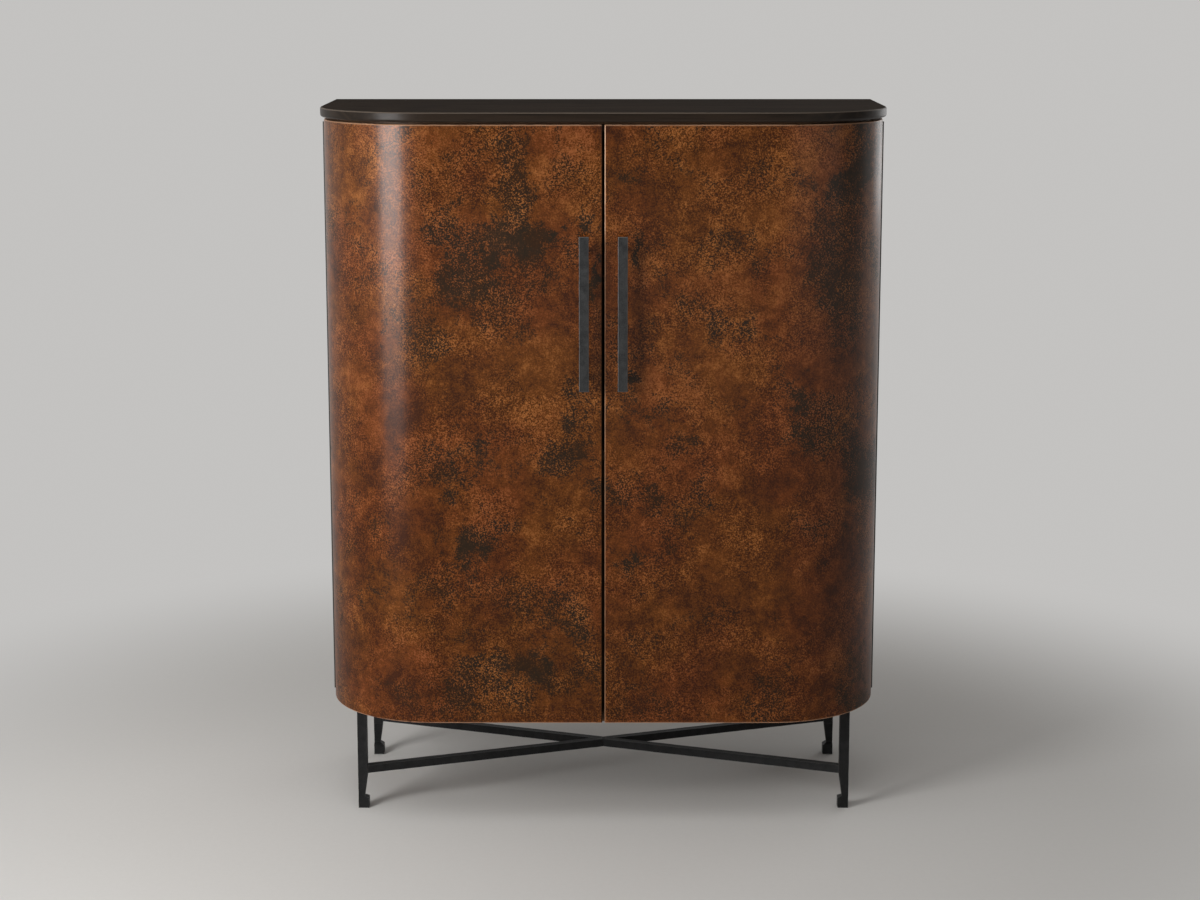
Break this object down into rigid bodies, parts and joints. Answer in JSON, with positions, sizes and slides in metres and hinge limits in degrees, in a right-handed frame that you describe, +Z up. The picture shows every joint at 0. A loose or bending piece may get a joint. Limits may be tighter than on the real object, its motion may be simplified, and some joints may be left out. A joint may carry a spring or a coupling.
{
  "type": "bar armoire",
  "caption": "Tall bar cabinet on a forged iron stand; copper-clad doors wrap round its front corners and swing open on shelves, a stemware rack and a bottle rack.",
  "frame": {"origin": "on the floor under the middle of the bounding box (handles included)", "axes": "+Z up, the doors face -Y, +X to the right of someone who stands in front"},
  "size_m": [1.13, 0.523, 1.422],
  "materials": {
    "patinated_copper": null,
    "slab_wood": "near-black stained wood, satin",
    "cabinet_wood": "dark walnut stain, satin",
    "forged_iron": "blackened forged iron, waxed",
    "hinge_metal": "dark oxidised steel",
    "bright_steel": "nickel-plated steel",
    "catch_plastic": "dark brown plastic"
  },
  "bodies": {
    "cabinet": {"adjustable_shelf": "cabinet_wood", "back_panel": "cabinet_wood", "bottom_panel": "cabinet_wood", "counter_shelf": "cabinet_wood", "front_left_leg": "forged_iron", "front_rail": "forged_iron", "front_right_leg": "forged_iron", "left_catch": "catch_plastic", "left_hinge_frame_leaf": "hinge_metal", "left_hinge_pin": "hinge_metal", "left_rail": "forged_iron", "left_side_panel": "cabinet_wood", "left_side_skin": "patinated_copper", "lower_divider": "cabinet_wood", "rack_board_falling": "cabinet_wood", "rack_board_rising": "cabinet_wood", "rear_left_leg": "forged_iron", "rear_rail": "forged_iron", "rear_right_leg": "forged_iron", "right_catch": "catch_plastic", "right_hinge_frame_leaf": "hinge_metal", "right_hinge_pin": "hinge_metal", "right_rail": "forged_iron", "right_side_panel": "cabinet_wood", "right_side_skin": "patinated_copper", "shelf_pins": "bright_steel", "stemware_rail_1": "cabinet_wood", "stemware_rail_2": "cabinet_wood", "stemware_rail_3": "cabinet_wood", "stemware_rail_4": "cabinet_wood", "stemware_rail_5": "cabinet_wood", "stemware_rail_6": "cabinet_wood", "stemware_rail_7": "cabinet_wood", "stretcher_lower": "forged_iron", "stretcher_rivet": "forged_iron", "stretcher_upper": "forged_iron", "sub_top": "cabinet_wood", "top_slab": "slab_wood", "upper_shelf": "cabinet_wood"},
    "left_door": {"left_door_core": "cabinet_wood", "left_door_skin": "patinated_copper", "left_handle_bar": "forged_iron", "left_handle_post_lower": "forged_iron", "left_handle_post_upper": "forged_iron", "left_hinge_door_leaf": "hinge_metal", "left_strike_plate": "bright_steel"},
    "right_door": {"right_door_core": "cabinet_wood", "right_door_skin": "patinated_copper", "right_handle_bar": "forged_iron", "right_handle_post_lower": "forged_iron", "right_handle_post_upper": "forged_iron", "right_hinge_door_leaf": "hinge_metal", "right_strike_plate": "bright_steel"}
  },
  "joints": [
    {"name": "left_door_swing", "type": "hinge", "parent": "cabinet", "child": "left_door", "pos_m": [-0.5588, -0.0057, 0.803], "axis": [0, 0, -1], "range_deg": [0, 170]},
    {"name": "right_door_swing", "type": "hinge", "parent": "cabinet", "child": "right_door", "pos_m": [0.5588, -0.0057, 0.803], "axis": [0, 0, 1], "range_deg": [0, 170]}
  ]
}
